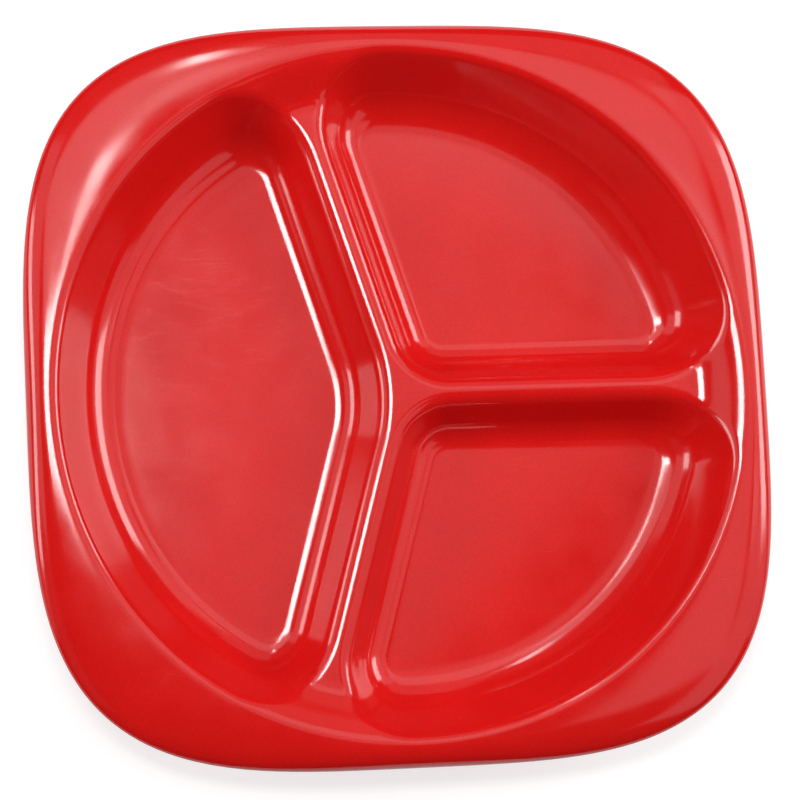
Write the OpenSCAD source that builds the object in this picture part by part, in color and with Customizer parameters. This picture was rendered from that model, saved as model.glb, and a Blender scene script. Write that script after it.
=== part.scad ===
// Divided compartment plate: a square-round melamine moulding with three food
// compartments and hollow-backed dividers, and the clear glaze pressed over its food side.
// Millimetres. +Z is up. The origin is under the middle of the plate, on the table.
// The right-hand divider runs along +X.

/* [Plate] */
// Overall width across two opposite sides
plate_w = 254; // [250:1:280]
// How square the outline is: 2 is a circle, and larger is squarer
outline_power = 3.65; // [3:0.05:4.4]
// Thickness of the moulding, with its glaze
wall_t = 3; // [2.2:0.1:3.4]
// Depth from the crest of the rim to the floors
well_depth = 23; // [20:0.5:25]

/* [Rim] */
// Diameter of the rim's crest, the highest line round the well
crest_d = 239; // [230:1:241]
// Drop from the crest to the outer edge
edge_drop = 5.7; // [4.5:0.1:8]
// How much farther out the crest lies on the diagonals, as a share of its radius
crest_square_share = 0.01; // [0:0.005:0.03]

/* [Outer walls] */
// Plan width of the wall from the rim's crest to a floor
outer_run = 26; // [25:0.5:29]
// Radius of the rim's inner shoulder
rim_shoulder_r = 4.5; // [4:0.5:9.5]
// Radius of the fillet between an outer wall and a floor
outer_fillet_r = 16.2; // [12:0.2:17]

/* [Dividers] */
// Angle between the right-hand divider and each of the other two
divider_aim = 106.5; // [98:0.5:118]
// Drop from the rim's crest to the crest of a divider
divider_drop = 7; // [4:0.5:9]
// Plan width of a divider's wall from its centre line to a floor
inner_run = 18.7; // [18:0.1:22]
// Radius of a divider's crest
divider_crest_r = 6; // [4.4:0.2:7]
// Radius of the fillet between a divider and a floor
divider_fillet_r = 10.6; // [9:0.2:12.6]
// Plan length over which a divider climbs to the rim
climb_run = 17.5; // [10:0.5:20]
// Plan radius of a floor's corners
floor_corner_r = 5; // [4.5:0.5:8]

/* [Glaze] */
// Thickness of the clear glaze
glaze_t = 0.25; // [0.15:0.05:0.4]

/* [Foot] */
// Height of the foot bead below a floor's underside
foot_h = 1.2; // [0.8:0.1:2]
// Width of the foot bead's flat, outside the floor's outline
foot_out = 2.4; // [1.6:0.2:2.8]
// Width of the foot bead's flat, inside the floor's outline
foot_in = 1.6; // [1:0.2:2]
// Plan width of the foot bead's inner slope
foot_slope = 1.2; // [0.8:0.2:1.6]

/* [Hidden] */

// Colours of the moulding, and of the clear glaze with the moulding behind it
body_colour = [0.78, 0.05, 0.04];
glaze_colour = [0.82, 0.06, 0.05];

// Steps of the mesh along each stretch of a compartment's outline
side_steps = 7;
corner_steps = 8;
inner_steps = 6;
arc_step_aim = 6.4;
// Steps across the gap between two compartments at the rim
gap_steps = 6;
// Steps down a wall: over its crest, and over its fillet
crest_steps = 4;
fillet_steps = 5;
// Steps from the rim's crest to its edge, and round the lip
rim_steps = 7;
lip_steps = 4;
// Share of a wall's run over which its slope is measured
slope_share = 0.002;
// The most of a wall's room that its crest arc and fillet may take
arc_room_share = 0.96;
// Rows of the underside that the foot bead takes the place of, and its own rows
foot_rows = 2;
bead_rows = 3;

crest_r = crest_d / 2;
crest_z = foot_h + wall_t + well_depth;
inner_depth = well_depth - divider_drop;

// Directions of the dividers, anticlockwise, with the first one again at the end
divider_aims = [0, divider_aim, 360 - divider_aim, 360];
compartment_count = len(divider_aims) - 1;
compartments = [0 : compartment_count - 1];

// A floor's outer corner lies on a circle about the plate's centre
corner_ring_r = crest_r - outer_run - floor_corner_r;
corner_aim = asin((inner_run + floor_corner_r) / corner_ring_r);
// Where a divider's straight crest starts and ends
reach_in = (inner_run + floor_corner_r) / tan(divider_aim / 2);
reach_out = corner_ring_r * cos(corner_aim);

function toward(aim) = [cos(aim), sin(aim)];
function mix(a, b, share) = a + (b - a) * share;
function clip(x) = min(1, max(0, x));
function ease(x) = clip(x) * clip(x) * (3 - 2 * clip(x));
function ease_slope(x) = 6 * clip(x) * (1 - clip(x));
// A direction, which is nothing at the plate's very middle
function unit(v) = norm(v) < crest_r * slope_share * slope_share ? v * 0 : v / norm(v);

// A wall is [run, drop, radius of its crest arc, radius of its fillet]. In a wall that is
// too short for its two arcs, both are made smaller alike.
function make_wall(run, drop, top_r, low_r) =
    let (room = (run * run + drop * drop) / (2 * drop) * arc_room_share)
    let (keep = min(1, room / (top_r + low_r)))
    [run, drop, top_r * keep, low_r * keep];
outer_wall = make_wall(outer_run, well_depth, rim_shoulder_r, outer_fillet_r);
inner_wall = make_wall(inner_run, inner_depth, divider_crest_r, divider_fillet_r);

// Slope of the straight stretch of a wall that joins its crest arc to its fillet
function wall_aim(wall) =
    let (arcs = wall[2] + wall[3])
    atan2(wall[1] - arcs, wall[0]) + asin(arcs / norm([wall[0], wall[1] - arcs]));

// Drop below the crest at a plan distance from it
function wall_drop(s, wall) =
    let (aim = wall_aim(wall), top_r = wall[2], low_r = wall[3], left = wall[0] - s)
    let (top_end = top_r * sin(aim), low_start = low_r * sin(aim))
    s <= top_end ? top_r - sqrt(top_r * top_r - s * s) :
    left <= low_start ? wall[1] - low_r + sqrt(low_r * low_r - left * left) :
    top_r * (1 - cos(aim)) + (s - top_end) * tan(aim);

// Height of the ground that the compartments sink into, below the rim's crest:
// level along the dividers, then up to the rim
function ground(r) = -divider_drop * (1 - ease((r - crest_r + climb_run) / climb_run));
function ground_slope(r) =
    divider_drop / climb_run * ease_slope((r - crest_r + climb_run) / climb_run);

// How far a wall has gone from the ground to the floor, beside a divider and at the rim
function divider_share(f) = wall_drop(f * inner_run, inner_wall) / inner_depth;
function rim_share(f) =
    let (below = ground(crest_r - f * outer_run))
    (below + wall_drop(f * outer_run, outer_wall)) / (below + well_depth);
function fall_share(f, rimward) = mix(divider_share(f), rim_share(f), rimward);

// Rows down a wall, as shares of its run: even steps of turn on its two arcs
function row_shares(wall) =
    let (aim = wall_aim(wall))
    [
        for (k = [0 : crest_steps]) wall[2] * sin(aim * k / crest_steps) / wall[0],
        for (k = [fillet_steps : -1 : 0]) 1 - wall[3] * sin(aim * k / fillet_steps) / wall[0]
    ];
inner_shares = row_shares(inner_wall);
outer_shares = row_shares(outer_wall);
wall_rows = len(inner_shares) - 1;
function wall_share(k, rimward) = mix(inner_shares[k], outer_shares[k], rimward);

// A spoke stands square to a floor's outline and runs from it to the crest:
// its foot, its direction, its plan length and how far it belongs to the rim
function spoke(foot, aim, rimward) =
    [foot, toward(aim), mix(inner_run, outer_run, rimward), rimward];

function arc_steps(p) = 2 * round((divider_aims[p + 1] - divider_aims[p]) / arc_step_aim / 2);

// The spokes of one compartment, anticlockwise from the inner end of its first divider
function make_spokes(p) =
    let (from = divider_aims[p], to = divider_aims[p + 1], half = (to - from) / 2)
    let (inner_r = reach_in * tan(half) - inner_run)
    let (inner_centre = reach_in / cos(half) * toward(from + half))
    [
        for (j = [0 : side_steps - 1])
            let (reach = mix(reach_in, reach_out, j / side_steps))
            spoke(reach * toward(from) + inner_run * toward(from + 90), from - 90, 0),
        for (j = [0 : corner_steps - 1])
            let (aim = from - 90 + (90 + corner_aim) * j / corner_steps)
            let (centre = corner_ring_r * toward(from + corner_aim))
            spoke(centre + floor_corner_r * toward(aim), aim, ease(j / corner_steps)),
        for (j = [0 : arc_steps(p) - 1])
            let (aim = mix(from + corner_aim, to - corner_aim, j / arc_steps(p)))
            spoke((crest_r - outer_run) * toward(aim), aim, 1),
        for (j = [0 : corner_steps - 1])
            let (aim = to - corner_aim + (90 + corner_aim) * j / corner_steps)
            let (centre = corner_ring_r * toward(to - corner_aim))
            spoke(centre + floor_corner_r * toward(aim), aim, ease(1 - j / corner_steps)),
        for (j = [0 : side_steps - 1])
            let (reach = mix(reach_out, reach_in, j / side_steps))
            spoke(reach * toward(to) + inner_run * toward(to - 90), to + 90, 0),
        for (j = [0 : inner_steps - 1])
            let (aim = to + 90 + (180 - 2 * half) * j / inner_steps)
            spoke(inner_centre + inner_r * toward(aim), aim, 0)
    ];
spokes = [for (p = compartments) make_spokes(p)];

// The crest is a little square: points move outward towards the diagonals
function swell(aim) = crest_square_share * pow(sin(2 * aim), 2);
function spread(v) =
    let (grow = 1 + swell(atan2(v.y, v.x)) * pow(norm([v.x, v.y]) / crest_r, 4))
    [v.x * grow, v.y * grow, v.z];

// A point of the skin at a depth below the food side, from its place and its lean
function sunk(place, z, lean, depth) =
    let (up = unit([-lean.x, -lean.y, 1]))
    spread([place.x, place.y, crest_z + z] - depth * up);

// A point of the ground between the compartments
function ground_point(place, depth) =
    sunk(place, ground(norm(place)), ground_slope(norm(place)) * unit(place), depth);

function spoke_place(s, f) = s[0] + s[1] * s[2] * (1 - f);
function spoke_z(s, f) =
    mix(ground(norm(spoke_place(s, f))), -well_depth, fall_share(f, s[3]));

// A point of a wall, at a share of the way down its spoke
function wall_point(s, f, depth) =
    let (place = spoke_place(s, f), out = unit(place))
    let (before = spoke_z(s, f - slope_share), after = spoke_z(s, f + slope_share))
    let (along = (before - after) / (2 * slope_share * s[2]))
    let (across = ground_slope(norm(place)) * (1 - fall_share(f, s[3])))
    let (lean = along * s[1] + across * (out - (out * s[1]) * s[1]))
    f == 0 ? ground_point(place, depth) : sunk(place, spoke_z(s, f), lean, depth);

// A point of the foot bead, outward of the floor's outline by one size and up by another
function foot_point(s, out, up) =
    let (place = s[0] + s[1] * out)
    spread([place.x, place.y, up]);

// The rim is a quarter of an ellipse from its crest to its edge
function outline_r(aim) =
    let (x = pow(abs(cos(aim)), outline_power), y = pow(abs(sin(aim)), outline_power))
    plate_w / 2 / pow(x + y, 1 / outline_power);
function rim_point(aim, turn, depth) =
    let (inner = crest_r * (1 + swell(aim)))
    let (r = inner + (outline_r(aim) - inner - depth) * sin(turn))
    [r * cos(aim), r * sin(aim), crest_z - edge_drop + (edge_drop - depth) * cos(turn)];

// The lip is half a round bead under the edge
function lip_point(aim, turn) =
    let (half_t = wall_t / 2, r = outline_r(aim) - half_t + half_t * cos(turn))
    [r * cos(aim), r * sin(aim), crest_z - edge_drop - half_t * sin(turn)];

// Directions of the points of the rim's rings
rim_aims = [
    for (p = compartments)
        let (from = divider_aims[p] + corner_aim, to = divider_aims[p + 1] - corner_aim)
        each [
            for (c = [0 : gap_steps - 1])
                divider_aims[p] + corner_aim * (2 * c / gap_steps - 1),
            for (j = [0 : arc_steps(p) - 1])
                mix(from, to, j / arc_steps(p))
        ]
];
rim_count = len(rim_aims);

// The food side of a skin, or its underside with the foot bead. A skin's points are
// those of the walls row by row, of the gaps, of the plate's middle and of the rim.
function wall_rows_of(s, depth, has_foot) = [
    for (k = [0 : wall_rows - (has_foot ? foot_rows : 0)])
        wall_point(s, wall_share(k, s[3]), depth),
    if (has_foot) foot_point(s, foot_out, 0),
    if (has_foot) foot_point(s, -foot_in, 0),
    if (has_foot) foot_point(s, -foot_in - foot_slope, foot_h)
];
function row_total(has_foot) = wall_rows + (has_foot ? bead_rows - foot_rows : 0);

function gap_points(p, depth) = [
    for (j = [1 : corner_steps])
        let (edge = spoke_place(spokes[p][side_steps + j], 0))
        let (half = atan2(edge.y, edge.x) - divider_aims[p])
        for (c = [1 : gap_steps - 1])
            let (aim = divider_aims[p] + wrap(half) * (2 * c / gap_steps - 1))
            ground_point(norm(edge) * toward(aim), depth)
];
function wrap(aim) = aim < -180 ? aim + 360 : aim;

function skin_points(depth, has_foot) = [
    for (p = compartments) each [
        for (s = spokes[p]) each wall_rows_of(s, depth, has_foot)
    ],
    for (p = compartments) each gap_points(p, depth),
    ground_point([0, 0], depth),
    for (j = [1 : rim_steps])
        for (aim = rim_aims) rim_point(aim, 90 * j / rim_steps, depth)
];

// Places of the points in a skin's list
spoke_counts = [for (p = compartments) len(spokes[p])];
function spokes_before(p) = p == 0 ? 0 : spoke_counts[p - 1] + spokes_before(p - 1);
function compartment_before(p) = (p + compartment_count - 1) % compartment_count;
function wall_at(p, i, k, rows) =
    let (count = spoke_counts[p], last = compartment_before(p), i_in = i % count)
    let (shared = k == 0 && i_in <= side_steps)
    let (twin = 2 * side_steps + 2 * corner_steps + arc_steps(last) - i_in)
    shared ? (spokes_before(last) + twin) * (rows + 1) :
    (spokes_before(p) + i_in) * (rows + 1) + k;
function gaps_at(rows) = spokes_before(compartment_count) * (rows + 1);
gap_size = corner_steps * (gap_steps - 1);
function gap_at(p, j, c, rows) =
    let (last = compartment_before(p))
    let (end_corner = side_steps + corner_steps + arc_steps(last))
    j == 0 ? wall_at(p, side_steps, 0, rows) :
    c == 0 ? wall_at(last, end_corner + corner_steps - j, 0, rows) :
    c == gap_steps ? wall_at(p, side_steps + j, 0, rows) :
    gaps_at(rows) + p * gap_size + (j - 1) * (gap_steps - 1) + c - 1;
function middle_at(rows) = gaps_at(rows) + compartment_count * gap_size;
function crest_ring(rows) = [
    for (p = compartments) each [
        for (c = [0 : gap_steps - 1]) gap_at(p, corner_steps, c, rows),
        for (j = [0 : arc_steps(p) - 1]) wall_at(p, side_steps + corner_steps + j, 0, rows)
    ]
];
function rim_ring(j, rows) = [
    for (m = [0 : rim_count - 1]) middle_at(rows) + 1 + (j - 1) * rim_count + m
];

// Two rings of points, the first inside the second, joined by triangles
function band(inner, outer) = [
    for (m = [0 : len(inner) - 1])
        let (n = (m + 1) % len(inner))
        each [[inner[m], outer[m], outer[n]], [inner[m], outer[n], inner[n]]]
];

// The faces of a skin, anticlockwise from above
function skin_faces(rows) =
    let (rings = [crest_ring(rows), for (j = [1 : rim_steps]) rim_ring(j, rows)])
    [
        for (p = compartments) each [
            for (k = [0 : rows - 1]) each band(
                [for (i = [0 : spoke_counts[p] - 1]) wall_at(p, i, k + 1, rows)],
                [for (i = [0 : spoke_counts[p] - 1]) wall_at(p, i, k, rows)]),
            [for (i = [0 : spoke_counts[p] - 1]) wall_at(p, i, rows, rows)]
        ],
        for (p = compartments, j = [0 : corner_steps - 1], c = [0 : gap_steps - 1])
            let (a = gap_at(p, j, c, rows), b = gap_at(p, j + 1, c, rows))
            let (d = gap_at(p, j, c + 1, rows), e = gap_at(p, j + 1, c + 1, rows))
            each j == 0 ? [[a, b, e]] : [[a, b, e], [a, e, d]],
        for (p = compartments)
            let (first = spoke_counts[p] - inner_steps)
            for (j = [0 : inner_steps - 1])
                [middle_at(rows), wall_at(p, first + j + 1, 0, rows), wall_at(p, first + j, 0, rows)],
        for (j = [0 : rim_steps - 1]) each band(rings[j], rings[j + 1])
    ];

function shifted(faces, start) = [for (face = faces) [for (v = face) v + start]];
function turned(faces) = [for (face = faces) [for (m = [len(face) - 1 : -1 : 0]) face[m]]];
function ring_from(start) = [for (m = [0 : rim_count - 1]) start + m];

// The red moulding: rim, walls, hollow-backed dividers, floors, foot beads and lip.
// Its food side lies under the glaze, which ends on a ledge above the lip.
module plate_body() {
    rows = row_total(false);
    under_rows = row_total(true);
    top = skin_points(glaze_t, false);
    under = skin_points(wall_t, true);
    lip = [
        for (j = [0 : lip_steps - 1])
            for (aim = rim_aims) lip_point(aim, 180 * j / lip_steps)
    ];
    under_at = len(top);
    lip_at = len(top) + len(under);
    edge_rings = [
        ring_from(under_at - rim_count),
        for (j = [0 : lip_steps - 1]) ring_from(lip_at + j * rim_count),
        ring_from(lip_at - rim_count)
    ];
    color(body_colour)
        polyhedron(
            points = concat(top, under, lip),
            faces = turned(concat(
                skin_faces(rows),
                turned(shifted(skin_faces(under_rows), under_at)),
                [for (j = [0 : lip_steps]) each band(edge_rings[j], edge_rings[j + 1])])));
}

// The clear glaze: an even skin over the whole food side, out to the edge of the rim
module glaze_coat() {
    rows = row_total(false);
    top = skin_points(0, false);
    under = skin_points(glaze_t, false);
    color(glaze_colour)
        polyhedron(
            points = concat(top, under),
            faces = turned(concat(
                skin_faces(rows),
                turned(shifted(skin_faces(rows), len(top))),
                band(ring_from(len(top) - rim_count), ring_from(2 * len(top) - rim_count)))));
}

plate_body();
glaze_coat();
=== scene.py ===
import math
import bpy
from mathutils import Matrix, Vector


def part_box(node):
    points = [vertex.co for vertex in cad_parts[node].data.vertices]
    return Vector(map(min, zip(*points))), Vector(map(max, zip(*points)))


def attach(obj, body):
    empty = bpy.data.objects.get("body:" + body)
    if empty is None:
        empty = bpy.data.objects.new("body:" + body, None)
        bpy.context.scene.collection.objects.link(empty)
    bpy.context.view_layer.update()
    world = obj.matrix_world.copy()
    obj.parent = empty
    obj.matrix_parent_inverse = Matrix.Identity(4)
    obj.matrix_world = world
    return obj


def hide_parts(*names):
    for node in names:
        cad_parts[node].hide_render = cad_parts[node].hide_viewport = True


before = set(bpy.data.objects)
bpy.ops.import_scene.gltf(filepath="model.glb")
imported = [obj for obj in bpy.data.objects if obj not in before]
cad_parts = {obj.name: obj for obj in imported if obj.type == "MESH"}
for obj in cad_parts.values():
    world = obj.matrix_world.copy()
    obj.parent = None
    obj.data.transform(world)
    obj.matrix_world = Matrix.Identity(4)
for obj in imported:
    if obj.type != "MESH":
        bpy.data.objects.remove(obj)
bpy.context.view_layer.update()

# Driving sizes of the plate, in metres and degrees, as in the CAD model
MM = 0.001
PLATE_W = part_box("plate_body")[1].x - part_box("plate_body")[0].x
CREST_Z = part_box("glaze_coat")[1].z
OUTLINE_POWER = 3.65
WALL_T = 3 * MM
GLAZE_T = 0.25 * MM
WELL_DEPTH = 23 * MM
CREST_R = 119.5 * MM
EDGE_DROP = 5.7 * MM
CREST_SQUARE_SHARE = 0.01
# How fast the squareness of the crest fades toward the plate's middle
SWELL_POWER = 4
OUTER_RUN = 26 * MM
RIM_SHOULDER_R = 4.5 * MM
OUTER_FILLET_R = 16.2 * MM
DIVIDER_AIM = math.radians(106.5)
DIVIDER_DROP = 7 * MM
INNER_RUN = 18.7 * MM
DIVIDER_CREST_R = 6 * MM
DIVIDER_FILLET_R = 10.6 * MM
CLIMB_RUN = 17.5 * MM
FLOOR_CORNER_R = 5 * MM
FOOT_H = 1.2 * MM
FOOT_OUT = 2.4 * MM
FOOT_IN = 1.6 * MM
FOOT_SLOPE = 1.2 * MM
FOOT_ROUND = 0.5 * MM
# Where the points of the bead's small roundings lie, across and up from its corners
FOOT_EDGE_OUT = FOOT_ROUND / 3
FOOT_EDGE_UP = FOOT_ROUND / 6
FLOOR_INSET = 1.5 * MM

# Steps of the fine mesh
SIDE_STEPS = 32
CORNER_STEPS = 24
INNER_STEPS = 24
ARC_STEP = math.radians(1.6)
GAP_STEPS = 14
CREST_STEPS = 10
WALL_STEPS = 4
FILLET_STEPS = 18
RIM_STEPS = 22
LIP_STEPS = 12
SLOPE_SHARE = 0.002
# Steps of the fillet at the floor that the foot bead takes the place of underneath
FOOT_ROWS = 7
SHARP_ANGLE = math.radians(40)

INNER_DEPTH = WELL_DEPTH - DIVIDER_DROP
DIVIDER_AIMS = [0, DIVIDER_AIM, math.tau - DIVIDER_AIM, math.tau]
COMPARTMENTS = range(len(DIVIDER_AIMS) - 1)
CORNER_RING_R = CREST_R - OUTER_RUN - FLOOR_CORNER_R
CORNER_AIM = math.asin((INNER_RUN + FLOOR_CORNER_R) / CORNER_RING_R)
REACH_IN = (INNER_RUN + FLOOR_CORNER_R) / math.tan(DIVIDER_AIM / 2)
REACH_OUT = CORNER_RING_R * math.cos(CORNER_AIM)
QUARTER = math.pi / 2


# Shape of the plate: the same formulas as in the CAD model, on a finer grid

def toward(aim):
    return Vector((math.cos(aim), math.sin(aim)))


def mix(a, b, share):
    return a + (b - a) * share


def clip(x):
    return min(1, max(0, x))


def ease(x):
    return clip(x) ** 2 * (3 - 2 * clip(x))


def ease_slope(x):
    return 6 * clip(x) * (1 - clip(x))


class Wall:
    """A wall's section: an arc at its crest, a straight slope and a fillet at the floor."""

    def __init__(self, run, drop, crest_r, fillet_r):
        self.run, self.drop, self.crest_r, self.fillet_r = run, drop, crest_r, fillet_r
        arcs = crest_r + fillet_r
        level = drop - arcs
        self.aim = math.atan2(level, run) + math.asin(arcs / math.hypot(run, level))
        self.crest_end = crest_r * math.sin(self.aim)
        self.fillet_start = run - fillet_r * math.sin(self.aim)

    def fall(self, s):
        """Drop below the crest at a plan distance from it."""
        if s <= self.crest_end:
            return self.crest_r - math.sqrt(self.crest_r ** 2 - s ** 2)
        if s >= self.fillet_start:
            left = self.run - s
            return self.drop - self.fillet_r + math.sqrt(self.fillet_r ** 2 - left ** 2)
        crest_drop = self.crest_r * (1 - math.cos(self.aim))
        return crest_drop + (s - self.crest_end) * math.tan(self.aim)


OUTER_WALL = Wall(OUTER_RUN, WELL_DEPTH, RIM_SHOULDER_R, OUTER_FILLET_R)
INNER_WALL = Wall(INNER_RUN, INNER_DEPTH, DIVIDER_CREST_R, DIVIDER_FILLET_R)


def ground(r):
    """Height of the ground between the compartments, below the rim's crest."""
    return -DIVIDER_DROP * (1 - ease((r - CREST_R + CLIMB_RUN) / CLIMB_RUN))


def ground_slope(r):
    return DIVIDER_DROP / CLIMB_RUN * ease_slope((r - CREST_R + CLIMB_RUN) / CLIMB_RUN)


def divider_share(f):
    return INNER_WALL.fall(f * INNER_RUN) / INNER_DEPTH


def rim_share(f):
    below = ground(CREST_R - f * OUTER_RUN)
    return (below + OUTER_WALL.fall(f * OUTER_RUN)) / (below + WELL_DEPTH)


def fall_share(f, rimward):
    return mix(divider_share(f), rim_share(f), rimward)


class Spoke:
    """A line square to a floor's outline, from its foot there up to the crest."""

    def __init__(self, foot, aim, rimward):
        self.foot, self.out, self.rimward = foot, toward(aim), rimward
        self.run = mix(INNER_RUN, OUTER_RUN, rimward)

    def place(self, f):
        return self.foot + self.out * self.run * (1 - f)

    def z(self, f):
        return mix(ground(self.place(f).length), -WELL_DEPTH, fall_share(f, self.rimward))


def arc_steps(p):
    return 2 * round((DIVIDER_AIMS[p + 1] - DIVIDER_AIMS[p]) / ARC_STEP / 2)


def make_spokes(p):
    """The spokes of one compartment, anticlockwise from the inner end of its first divider."""
    start, end = DIVIDER_AIMS[p], DIVIDER_AIMS[p + 1]
    half = (end - start) / 2
    inner_r = REACH_IN * math.tan(half) - INNER_RUN
    inner_centre = REACH_IN / math.cos(half) * toward(start + half)
    first, last = start + CORNER_AIM, end - CORNER_AIM
    turn = QUARTER + CORNER_AIM
    spokes = []
    for j in range(SIDE_STEPS):
        foot = mix(REACH_IN, REACH_OUT, j / SIDE_STEPS) * toward(start)
        spokes.append(Spoke(foot + INNER_RUN * toward(start + QUARTER), start - QUARTER, 0))
    for j in range(CORNER_STEPS):
        aim = start - QUARTER + turn * j / CORNER_STEPS
        foot = CORNER_RING_R * toward(first) + FLOOR_CORNER_R * toward(aim)
        spokes.append(Spoke(foot, aim, ease(j / CORNER_STEPS)))
    for j in range(arc_steps(p)):
        aim = mix(first, last, j / arc_steps(p))
        spokes.append(Spoke((CREST_R - OUTER_RUN) * toward(aim), aim, 1))
    for j in range(CORNER_STEPS):
        aim = last + turn * j / CORNER_STEPS
        foot = CORNER_RING_R * toward(last) + FLOOR_CORNER_R * toward(aim)
        spokes.append(Spoke(foot, aim, ease(1 - j / CORNER_STEPS)))
    for j in range(SIDE_STEPS):
        foot = mix(REACH_OUT, REACH_IN, j / SIDE_STEPS) * toward(end)
        spokes.append(Spoke(foot + INNER_RUN * toward(end - QUARTER), end + QUARTER, 0))
    for j in range(INNER_STEPS):
        aim = end + QUARTER + (math.pi - 2 * half) * j / INNER_STEPS
        spokes.append(Spoke(inner_centre + inner_r * toward(aim), aim, 0))
    return spokes


SPOKES = [make_spokes(p) for p in COMPARTMENTS]


def row_shares(wall):
    """Rows down a wall, as shares of its run: even steps of turn on its two arcs."""
    crest = [wall.crest_r * math.sin(wall.aim * k / CREST_STEPS) for k in range(CREST_STEPS)]
    slope = [mix(wall.crest_end, wall.fillet_start, k / WALL_STEPS) for k in range(WALL_STEPS)]
    fillet = [
        wall.run - wall.fillet_r * math.sin(wall.aim * k / FILLET_STEPS)
        for k in range(FILLET_STEPS, -1, -1)
    ]
    return [s / wall.run for s in crest + slope + fillet]


INNER_SHARES = row_shares(INNER_WALL)
OUTER_SHARES = row_shares(OUTER_WALL)


def wall_share(k, rimward):
    return mix(INNER_SHARES[k], OUTER_SHARES[k], rimward)


# A site is a place in plan, a height below the rim's crest and a slope

def swell(aim):
    return CREST_SQUARE_SHARE * math.sin(2 * aim) ** 2


def spread(x, y, z):
    """The crest is a little square: points move outward towards the diagonals."""
    grow = 1 + swell(math.atan2(y, x)) * (math.hypot(x, y) / CREST_R) ** SWELL_POWER
    return Vector((x * grow, y * grow, z))


def ground_site(place):
    r = place.length
    out = place / r if r else place
    return place, ground(r), ground_slope(r) * out


def wall_site(spoke, f):
    place = spoke.place(f)
    if f == 0:
        return ground_site(place)
    before, after = spoke.z(f - SLOPE_SHARE), spoke.z(f + SLOPE_SHARE)
    along = (before - after) / (2 * SLOPE_SHARE * spoke.run)
    across = ground_slope(place.length) * (1 - fall_share(f, spoke.rimward))
    out = place.normalized()
    lean = along * spoke.out + across * (out - out.dot(spoke.out) * spoke.out)
    return place, spoke.z(f), lean


def sunk(site, depth):
    """The point at a depth below the food side, at a site."""
    place, z, lean = site
    up = Vector((-lean.x, -lean.y, 1)).normalized()
    return spread(place.x, place.y, CREST_Z + z) - depth * up


# The rim, from its crest to the lip under its edge

def outline_r(aim):
    x = abs(math.cos(aim)) ** OUTLINE_POWER
    y = abs(math.sin(aim)) ** OUTLINE_POWER
    return PLATE_W / 2 / (x + y) ** (1 / OUTLINE_POWER)


def rim_point(aim, turn, depth):
    inner = CREST_R * (1 + swell(aim))
    r = inner + (outline_r(aim) - inner - depth) * math.sin(turn)
    z = CREST_Z - EDGE_DROP + (EDGE_DROP - depth) * math.cos(turn)
    return Vector((r * math.cos(aim), r * math.sin(aim), z))


def lip_point(aim, turn):
    half_t = WALL_T / 2
    r = outline_r(aim) - half_t + half_t * math.cos(turn)
    z = CREST_Z - EDGE_DROP - half_t * math.sin(turn)
    return Vector((r * math.cos(aim), r * math.sin(aim), z))


def make_rim_aims():
    aims = []
    for p in COMPARTMENTS:
        start, end = DIVIDER_AIMS[p], DIVIDER_AIMS[p + 1]
        aims += [start + CORNER_AIM * (2 * c / GAP_STEPS - 1) for c in range(GAP_STEPS)]
        first, last = start + CORNER_AIM, end - CORNER_AIM
        aims += [mix(first, last, j / arc_steps(p)) for j in range(arc_steps(p))]
    return aims


RIM_AIMS = make_rim_aims()

# Section of the foot bead: distance outward of a floor's outline, and height
FOOT_PROFILE = [
    (FOOT_OUT + FOOT_ROUND, FOOT_ROUND),
    (FOOT_OUT + FOOT_EDGE_OUT, FOOT_EDGE_UP),
    (FOOT_OUT, 0),
    (-FOOT_IN, 0),
    (-FOOT_IN - FOOT_EDGE_OUT, FOOT_EDGE_UP),
    (-FOOT_IN - FOOT_SLOPE + FOOT_EDGE_OUT, FOOT_H - FOOT_EDGE_UP),
    (-FOOT_IN - FOOT_SLOPE, FOOT_H),
    (-FOOT_IN - FOOT_SLOPE - FLOOR_INSET, FOOT_H),
]


class Solid:
    """A closed mesh that is built up from named points and faces."""

    def __init__(self):
        self.places = []
        self.index = {}
        self.faces = []

    def add_point(self, key, place):
        self.index[key] = len(self.places)
        self.places.append(place)

    def add_face(self, keys, turned=False):
        face = [self.index[key] for key in keys]
        self.faces.append(face[::-1] if turned else face)

    def add_band(self, inner, outer, turned=False):
        """Joins two rings of points, the first inside the second."""
        count = len(inner)
        for m in range(count):
            n = (m + 1) % count
            self.add_face([inner[m], outer[m], outer[n], inner[n]], turned)

    def make_object(self, name, material):
        mesh = bpy.data.meshes.new(name)
        mesh.from_pydata(self.places, [], self.faces)
        mesh.validate()
        mesh.polygons.foreach_set("use_smooth", [True] * len(mesh.polygons))
        mesh.set_sharp_from_angle(angle=SHARP_ANGLE)
        mesh.materials.append(material)
        piece = bpy.data.objects.new(name, mesh)
        bpy.context.scene.collection.objects.link(piece)
        return piece


def wall_key(skin, p, i, k):
    """A divider's crest is shared by the compartments on its two sides."""
    i = i % len(SPOKES[p])
    if k == 0 and i <= SIDE_STEPS:
        before = (p - 1) % len(SPOKES)
        twin = 2 * SIDE_STEPS + 2 * CORNER_STEPS + arc_steps(before) - i
        return skin, before, twin, 0
    return skin, p, i, k


def gap_key(skin, p, j, c):
    """A point between two compartments, where a divider widens into the rim."""
    before = (p - 1) % len(SPOKES)
    if j == 0:
        return wall_key(skin, p, SIDE_STEPS, 0)
    if c == 0:
        last_corner = SIDE_STEPS + 2 * CORNER_STEPS + arc_steps(before)
        return wall_key(skin, before, last_corner - j, 0)
    if c == GAP_STEPS:
        return wall_key(skin, p, SIDE_STEPS + j, 0)
    return skin, "gap", p, j, c


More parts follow.
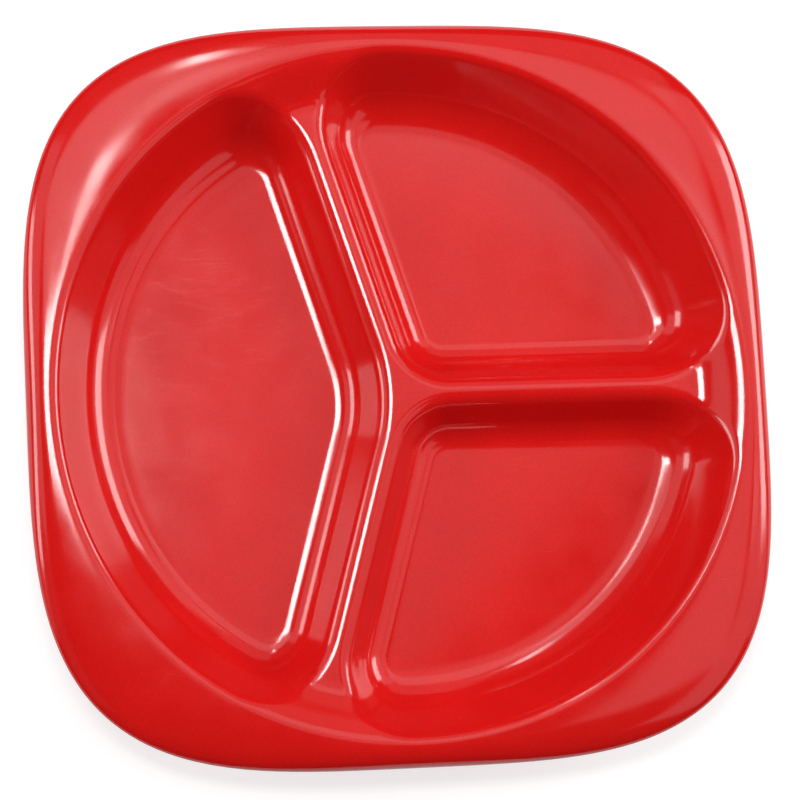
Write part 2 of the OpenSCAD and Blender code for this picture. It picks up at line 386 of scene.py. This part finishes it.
def add_skin(solid, skin, depth, has_foot=False):
    """Adds the food side, or a skin below it, and returns its rings from crest to edge."""
    wall_rows = len(INNER_SHARES) - (FOOT_ROWS + 1 if has_foot else 0)
    insets = FOOT_PROFILE if has_foot else [(-FLOOR_INSET, WALL_T + FOOT_H - depth)]
    rows = wall_rows + len(insets) - 1
    for p in COMPARTMENTS:
        for i, spoke in enumerate(SPOKES[p]):
            for k in range(wall_rows):
                if wall_key(skin, p, i, k) == (skin, p, i, k):
                    site = wall_site(spoke, wall_share(k, spoke.rimward))
                    solid.add_point((skin, p, i, k), sunk(site, depth))
            for k, (out, up) in enumerate(insets):
                place = spoke.foot + spoke.out * out
                solid.add_point((skin, p, i, wall_rows + k), spread(place.x, place.y, up))
    for p in COMPARTMENTS:
        for j in range(1, CORNER_STEPS + 1):
            edge = SPOKES[p][SIDE_STEPS + j].place(0)
            half = math.remainder(math.atan2(edge.y, edge.x) - DIVIDER_AIMS[p], math.tau)
            for c in range(1, GAP_STEPS):
                place = edge.length * toward(DIVIDER_AIMS[p] + half * (2 * c / GAP_STEPS - 1))
                solid.add_point((skin, "gap", p, j, c), sunk(ground_site(place), depth))
    solid.add_point((skin, "middle"), sunk(ground_site(Vector((0, 0))), depth))

    crest = []
    for p in COMPARTMENTS:
        crest += [gap_key(skin, p, CORNER_STEPS, c) for c in range(GAP_STEPS)]
        arc_start = SIDE_STEPS + CORNER_STEPS
        crest += [wall_key(skin, p, arc_start + j, 0) for j in range(arc_steps(p))]
    rings = [crest]
    for j in range(1, RIM_STEPS + 1):
        ring = [(skin, "rim", j, m) for m in range(len(RIM_AIMS))]
        for key, aim in zip(ring, RIM_AIMS):
            solid.add_point(key, rim_point(aim, QUARTER * j / RIM_STEPS, depth))
        rings.append(ring)

    turned = skin == "under"
    for p in COMPARTMENTS:
        count = len(SPOKES[p])
        rings_in = [[wall_key(skin, p, i, k) for i in range(count)] for k in range(rows + 1)]
        for upper, lower in zip(rings_in, rings_in[1:]):
            solid.add_band(lower, upper, turned)
        solid.add_face(rings_in[-1], turned)
        for j in range(CORNER_STEPS):
            for c in range(GAP_STEPS):
                a, b = gap_key(skin, p, j, c), gap_key(skin, p, j + 1, c)
                d, e = gap_key(skin, p, j, c + 1), gap_key(skin, p, j + 1, c + 1)
                solid.add_face([a, b, e] if j == 0 else [a, b, e, d], turned)
        first = count - INNER_STEPS
        for j in range(INNER_STEPS):
            near = wall_key(skin, p, first + j, 0)
            far = wall_key(skin, p, first + j + 1, 0)
            solid.add_face([(skin, "middle"), far, near], turned)
    for inner, outer in zip(rings, rings[1:]):
        solid.add_band(inner, outer, turned)
    return rings


def make_body(material):
    """The moulding: its food side under the glaze, its underside, foot beads and lip."""
    solid = Solid()
    top = add_skin(solid, "top", GLAZE_T)
    under = add_skin(solid, "under", WALL_T, has_foot=True)
    rings = [top[-1]]
    for j in range(LIP_STEPS):
        ring = [("lip", j, m) for m in range(len(RIM_AIMS))]
        for key, aim in zip(ring, RIM_AIMS):
            solid.add_point(key, lip_point(aim, math.pi * j / LIP_STEPS))
        rings.append(ring)
    rings.append(under[-1])
    for inner, outer in zip(rings, rings[1:]):
        solid.add_band(inner, outer)
    return solid.make_object("red_body", material)


def make_glaze(material):
    """The glaze: an even skin over the food side, out to the edge of the rim."""
    solid = Solid()
    top = add_skin(solid, "top", 0)
    under = add_skin(solid, "under", GLAZE_T)
    solid.add_band(top[-1], under[-1])
    return solid.make_object("food_side_glaze", material)


# Materials

class Nodes:
    """A short way to build a material's nodes."""

    def __init__(self, name):
        self.material = bpy.data.materials.new(name)
        self.material.use_nodes = True
        self.tree = self.material.node_tree
        self.shader = self.tree.nodes["Principled BSDF"]

    def add(self, kind, links=(), **settings):
        """A node of a kind, with settings and with links from sockets to its inputs."""
        node = self.tree.nodes.new("ShaderNode" + kind)
        for key, value in settings.items():
            setattr(node, key, value)
        for socket, value in links:
            if isinstance(value, bpy.types.NodeSocket):
                self.tree.links.new(value, node.inputs[socket])
            else:
                node.inputs[socket].default_value = value
        return node

    def set_shader(self, **inputs):
        for name, value in inputs.items():
            socket = self.shader.inputs[name.replace("_", " ")]
            if isinstance(value, bpy.types.NodeSocket):
                self.tree.links.new(value, socket)
            else:
                socket.default_value = value


RED = (0.73, 0.009, 0.008, 1)
IOR_MELAMINE = 1.57

# Sizes of the patterns in the surface
GRAIN_SIZE = 0.5 * MM
CLOUD_SIZE = 28 * MM
WAVE_SIZE = 14 * MM
PEEL_SIZE = 1.6 * MM
SCRATCH_W = 0.16 * MM
SCRATCH_LONGER = 60
# Heights of the waviness, of the fine peel on each finish and of the scratches
WAVE_H = 10e-6
GLAZED_PEEL_H = 0.8e-6
MOULDED_PEEL_H = 3.2e-6
SCRATCH_H = 1.2e-6
# Roughness of each finish, and what its dull patches add
GLAZED_ROUGHNESS = 0.10
GLAZED_ROUGHER = 0.05
MOULDED_ROUGHNESS = 0.24
MOULDED_ROUGHER = 0.10
# A scratch is this many times as rough as a dull patch
SCRATCH_ROUGHER = 3
# Directions of the three sets of scratches, in radians
SCRATCH_TURNS = (0.5, 1.45, 2.5)
# Ranges of the noise that make the shades, the dull patches, the scratched patches and the
# scratches
SHADE_NOISE = (0.3, 0.7)
DULL_NOISE = (0.35, 0.7)
PATCH_NOISE = (0.45, 0.62)
SCRATCH_NOISE = (0.70, 0.75)
# How far the grain and the clouds darken and lighten the red
GRAIN_SHADES = (0.90, 1.08)
CLOUD_SHADES = (0.96, 1.03)
# Detail of the noise
PLAIN, MEDIUM, FINE, FINEST = 1.0, 2.0, 3.0, 4.0
WHOLE = (0, 1)


def add_noise(nodes, place, size, detail=MEDIUM, stretch=(1, 1, 1), turn=0.0):
    """Noise with patches of about a size in metres, longer along an axis that is stretched."""
    mapping = nodes.add("Mapping", links=[("Vector", place)])
    mapping.inputs["Rotation"].default_value = (0, 0, turn)
    mapping.inputs["Scale"].default_value = [1 / (size * longer) for longer in stretch]
    noise = nodes.add("TexNoise", links=[
        ("Vector", mapping.outputs[0]), ("Scale", 1.0), ("Detail", detail)])
    return noise.outputs[0]


def remap(nodes, value, source, target):
    """Turns one range of a value into another, and keeps it within that."""
    ranged = nodes.add("MapRange", links=[
        ("Value", value), ("From Min", source[0]), ("From Max", source[1]),
        ("To Min", target[0]), ("To Max", target[1])])
    return ranged.outputs[0]


def combine(nodes, operation, a, b):
    return nodes.add("Math", operation=operation, links=[(0, a), (1, b)]).outputs[0]


def add_scratches(nodes, place):
    """Fine scratches in three directions, thinned out in patches: 1 in a scratch, else 0."""
    total = None
    for number, turn in enumerate(SCRATCH_TURNS):
        lines = add_noise(nodes, place, SCRATCH_W, PLAIN, (SCRATCH_LONGER, 1, 1), turn)
        line = remap(nodes, lines, SCRATCH_NOISE, WHOLE)
        patch = add_noise(nodes, place, CLOUD_SIZE * (1 + number / len(SCRATCH_TURNS)), PLAIN)
        line = combine(nodes, "MULTIPLY", line, remap(nodes, patch, PATCH_NOISE, WHOLE))
        total = line if total is None else combine(nodes, "MAXIMUM", total, line)
    return total


def make_red(name, roughness, rougher, peel_h):
    """Red melamine: a fine grain in its colour, a faint waviness and fine scratches."""
    nodes = Nodes(name)
    place = nodes.add("TexCoord").outputs["Object"]
    grain = add_noise(nodes, place, GRAIN_SIZE, FINE)
    grain = remap(nodes, grain, SHADE_NOISE, GRAIN_SHADES)
    cloud = remap(nodes, add_noise(nodes, place, CLOUD_SIZE), SHADE_NOISE, CLOUD_SHADES)
    shade = combine(nodes, "MULTIPLY", grain, cloud)
    colour = nodes.add("VectorMath", operation="SCALE", links=[
        (0, RED[:3]), ("Scale", shade)]).outputs[0]
    scratches = add_scratches(nodes, place)
    dull = add_noise(nodes, place, CLOUD_SIZE / 2, FINEST)
    dull = remap(nodes, dull, DULL_NOISE, (0, rougher))
    rough = combine(nodes, "ADD", dull, roughness)
    scratched = remap(nodes, scratches, WHOLE, (0, SCRATCH_ROUGHER * rougher))
    rough = combine(nodes, "ADD", rough, scratched)
    waves = remap(nodes, add_noise(nodes, place, WAVE_SIZE, PLAIN), WHOLE, (0, WAVE_H))
    peel = remap(nodes, add_noise(nodes, place, PEEL_SIZE), WHOLE, (0, peel_h))
    height = combine(nodes, "ADD", waves, peel)
    grooves = remap(nodes, scratches, WHOLE, (0, SCRATCH_H))
    height = combine(nodes, "SUBTRACT", height, grooves)
    bump = nodes.add("Bump", links=[("Height", height), ("Distance", 1.0), ("Strength", 1.0)])
    nodes.set_shader(
        Base_Color=colour, Roughness=rough, Normal=bump.outputs[0], IOR=IOR_MELAMINE)
    return nodes.material


moulded_red = make_red(
    "moulded_red_melamine", MOULDED_ROUGHNESS, MOULDED_ROUGHER, MOULDED_PEEL_H)
glazed_red = make_red(
    "glazed_red_melamine", GLAZED_ROUGHNESS, GLAZED_ROUGHER, GLAZED_PEEL_H)
body = make_body(moulded_red)
glaze = make_glaze(glazed_red)
for piece, node, slot in (
    (body, "plate_body", "red_melamine"),
    (glaze, "glaze_coat", "clear_glaze"),
):
    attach(piece, "root")
    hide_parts(node)

# Camera: to the left of straight above, and a little to the front
CAMERA_LEAN_X = math.radians(-9.63)
CAMERA_LEAN_Y = math.radians(-7.82)
CAMERA_ROLL = math.radians(1.63)
CAMERA_DISTANCE = 1.126
CAMERA_LENS = 150.3
CAMERA_CLIP = (0.05, 20)
# Where the camera looks, seen from the plate's middle at the crest's height
AIM_RIGHT = -1.63 * MM
AIM_UP = -3.66 * MM


def make_camera():
    back = Vector((math.tan(CAMERA_LEAN_X), math.tan(CAMERA_LEAN_Y), 1)).normalized()
    right = (Vector((1, 0, 0)) - back.x * back).normalized()
    up = back.cross(right)
    turn = Matrix.Rotation(-CAMERA_ROLL, 3, back)
    right, up = turn @ right, turn @ up
    data = bpy.data.cameras.new("camera")
    data.lens = CAMERA_LENS
    data.clip_start, data.clip_end = CAMERA_CLIP
    camera = bpy.data.objects.new("camera", data)
    aim = Vector((0, 0, CREST_Z)) + AIM_RIGHT * right + AIM_UP * up
    camera.matrix_world = Matrix.Translation(aim + back * CAMERA_DISTANCE) @ Matrix(
        (right, up, back)).transposed().to_4x4()
    bpy.context.scene.collection.objects.link(camera)
    bpy.context.scene.camera = camera


make_camera()


# Shares of the floor's white that it gives off itself and that it reflects
FLOOR_GLOW = 0.74
FLOOR_COLOUR = (0.42, 0.42, 0.42, 1)
# The plain table that lights the underside
TABLE_COLOUR = (0.8, 0.8, 0.8, 1)
FLOOR_REACH = 12
# A hair below the foot beads, so that the two don't share a plane
FLOOR_Z = -0.05 * MM


def make_floor():
    """A white floor: to the camera and in reflections it is white, and it keeps the shadow."""
    r = FLOOR_REACH
    mesh = bpy.data.meshes.new("floor")
    corners = [(x * r, y * r, FLOOR_Z) for x, y in ((-1, -1), (1, -1), (1, 1), (-1, 1))]
    mesh.from_pydata(corners, [], [range(len(corners))])
    floor = bpy.data.objects.new("floor", mesh)
    bpy.context.scene.collection.objects.link(floor)
    nodes = Nodes("white_floor")
    rays = nodes.add("LightPath").outputs
    seen = combine(nodes, "MAXIMUM", rays["Is Camera Ray"], rays["Is Glossy Ray"])
    seen = combine(nodes, "MAXIMUM", seen, rays["Is Transmission Ray"])
    table = nodes.add("BsdfDiffuse", links=[("Color", TABLE_COLOUR)])
    white = nodes.add("BsdfDiffuse", links=[("Color", FLOOR_COLOUR)])
    glow = nodes.add("Emission", links=[("Strength", FLOOR_GLOW)])
    lit = nodes.add("AddShader", links=[(0, white.outputs[0]), (1, glow.outputs[0])])
    mixed = nodes.add("MixShader", links=[
        (0, seen), (1, table.outputs[0]), (2, lit.outputs[0])])
    surface = nodes.tree.nodes["Material Output"].inputs["Surface"]
    nodes.tree.links.new(mixed.outputs[0], surface)
    mesh.materials.append(nodes.material)


make_floor()


# The studio's tent: rings of panels that face the plate, from the top down. Each ring has its
# tilt from straight above, its first panel's heading from the right, the half width and half
# height of a panel as shares of its distance, and the radiances of its panels, anticlockwise
TENT_R = 1.5
TENT_RINGS = (
    (10.6, 45, 0.13, 0.13, (0.63, 0, 0, 0)),
    (27, 0, 0.26, 0.16, (0.79, 1.16, 1.5, 0, 0, 0)),
    (50, 22.5, 0.31, 0.22, (0.9, 0.4, 0.1, 0.8, 0.1, 0, 0, 0.7)),
    (72, 0, 0.31, 0.16, (0.6, 0, 0, 0, 0, 0.4, 0, 0, 0, 0)),
)
# The brighter lamps, two side boxes that give the pale bands and three strips that give the
# white streaks: tilt, heading and turn in degrees, distance, half width and half height as
# shares of it, and radiance
LAMPS = (
    ("right_box", 64, 14, 0, 1.5, (0.26, 0.15), 7),
    ("left_box", 66, 170, 0, 1.5, (0.24, 0.13), 6),
    ("short_strip", 13.6, 144, 126, 1.2, (0.15, 0.08), 22),
    ("near_strip", 17.7, 106.4, 163.6, 1.2, (0.035, 0.05), 14),
    ("far_strip", 38.1, 94.5, 175.5, 1.2, (0.02, 0.06), 24),
)


def add_panel(name, tilt, heading, turn, distance, shares, radiance):
    """A softbox that faces the plate: its tilt from straight above and its heading from the
    right, its turn about its own axis, and its half width and half height as shares of its
    distance. All angles are in degrees."""
    tilt, heading = math.radians(tilt), math.radians(heading)
    out = Vector((*(math.sin(tilt) * toward(heading)), math.cos(tilt)))
    down = Vector((*(math.cos(tilt) * toward(heading)), -math.sin(tilt)))
    spin = Matrix.Rotation(math.radians(turn), 3, out)
    data = bpy.data.lights.new(name, "AREA")
    data.shape = "RECTANGLE"
    data.size, data.size_y = [2 * distance * share for share in shares]
    data.energy = radiance * math.pi * data.size * data.size_y
    lamp = bpy.data.objects.new(name, data)
    lamp.matrix_world = Matrix.Translation(out * distance) @ Matrix(
        (spin @ down.cross(out), spin @ down, out)).transposed().to_4x4()
    bpy.context.scene.collection.objects.link(lamp)


def light_studio():
    for ring, (tilt, first, wide, high, radiances) in enumerate(TENT_RINGS):
        for k, radiance in enumerate(radiances):
            heading = first + 360 * k / len(radiances)
            if radiance:
                add_panel(f"panel_{ring}_{k}", tilt, heading, 0, TENT_R, (wide, high), radiance)
    for lamp in LAMPS:
        add_panel(*lamp)


light_studio()

# Share of white that the studio's walls give off
DARK_STUDIO = 0.02

world = bpy.data.worlds.new("studio")
world.use_nodes = True
background = world.node_tree.nodes["Background"]
background.inputs["Strength"].default_value = DARK_STUDIO
background.inputs["Color"].default_value = (1, 1, 1, 1)
bpy.context.scene.world = world
bpy.context.scene.view_settings.view_transform = "Standard"
